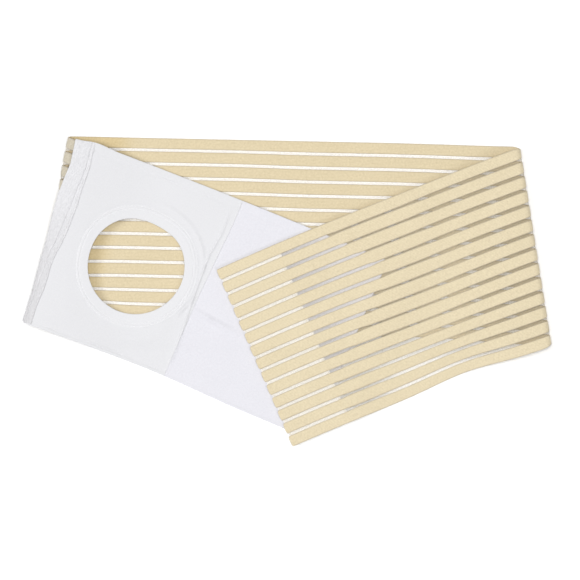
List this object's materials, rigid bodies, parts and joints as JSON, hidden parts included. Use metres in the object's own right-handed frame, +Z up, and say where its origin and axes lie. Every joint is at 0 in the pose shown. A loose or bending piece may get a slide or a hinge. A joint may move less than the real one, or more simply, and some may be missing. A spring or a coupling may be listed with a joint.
{
  "type": "ostomy hernia belt",
  "caption": "Wide ribbed elastic abdominal belt closed and laid flat, with a white front panel that has a round stoma opening and a hook-and-loop closure.",
  "frame": {"origin": "under the middle of the closed belt's bounding box, on the surface that it lies on", "axes": "+X along the back run towards the plain fold, +Y across the band towards its upper edge, +Z up from the surface"},
  "size_m": [0.4904, 0.2814, 0.0153],
  "materials": {
    "webbing": "matte woven elastic ribs with see-through monofilament stripes",
    "panel": "matte smooth white laminated cloth",
    "ring": "matte stitched white facing",
    "loop": "brushed white loop pile",
    "tape": "matte ribbed white binding",
    "hook": "white hook tape"
  },
  "bodies": {
    "root": {"elastic_webbing": "webbing", "stoma_panel": "panel", "stoma_ring": "ring", "loop_panel": "loop", "joining_tape": "tape", "hook_tape": "hook"}
  },
  "joints": []
}
